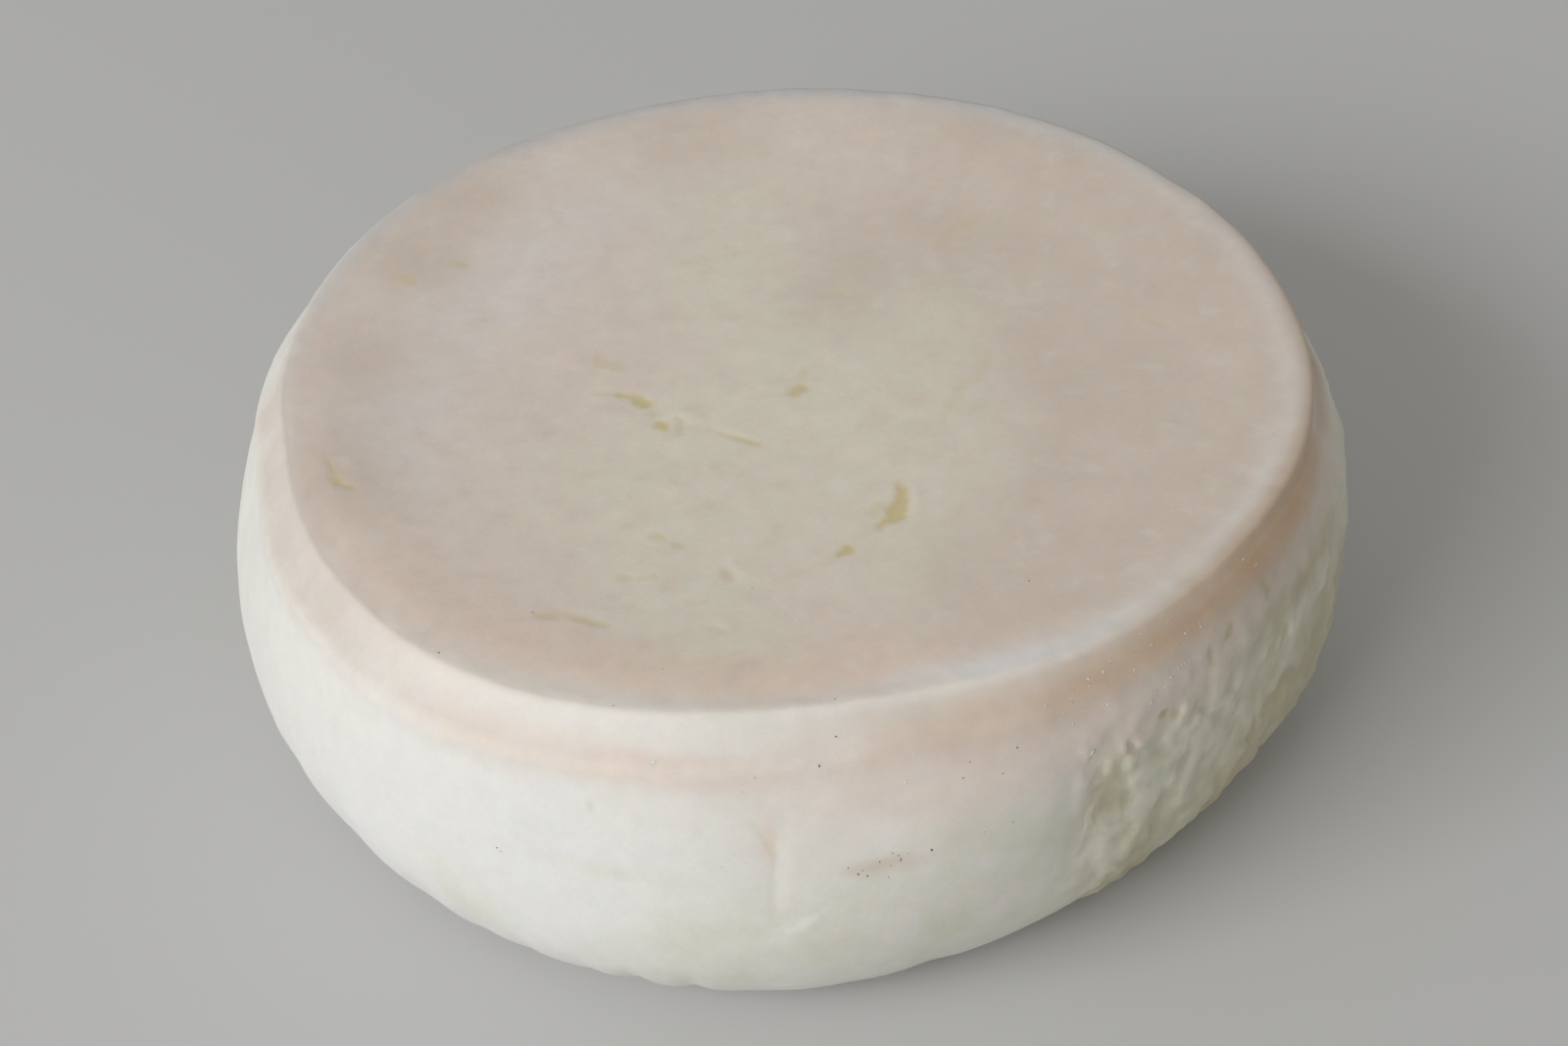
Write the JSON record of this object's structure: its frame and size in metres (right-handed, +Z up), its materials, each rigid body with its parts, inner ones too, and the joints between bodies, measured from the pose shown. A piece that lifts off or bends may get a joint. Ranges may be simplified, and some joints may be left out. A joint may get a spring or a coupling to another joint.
{
  "type": "semi-aged goat cheese wheel",
  "caption": "Whole wheel of semi-aged goat cheese: dished face inside a soft raised rim, groove below it, bulging side that tucks under to a flat base.",
  "frame": {"origin": "on the table, under the middle of the wheel's bounding box", "axes": "+Z up, out of the dished face; -Y towards the side with the shallow crease at the front; the face is a little higher towards +X"},
  "size_m": [0.1606, 0.1628, 0.0542],
  "materials": {
    "rind": "natural dry rind, ivory side and pinkish-beige face, faintly waxy"
  },
  "bodies": {
    "root": {"cheese_wheel": "rind"}
  },
  "joints": []
}
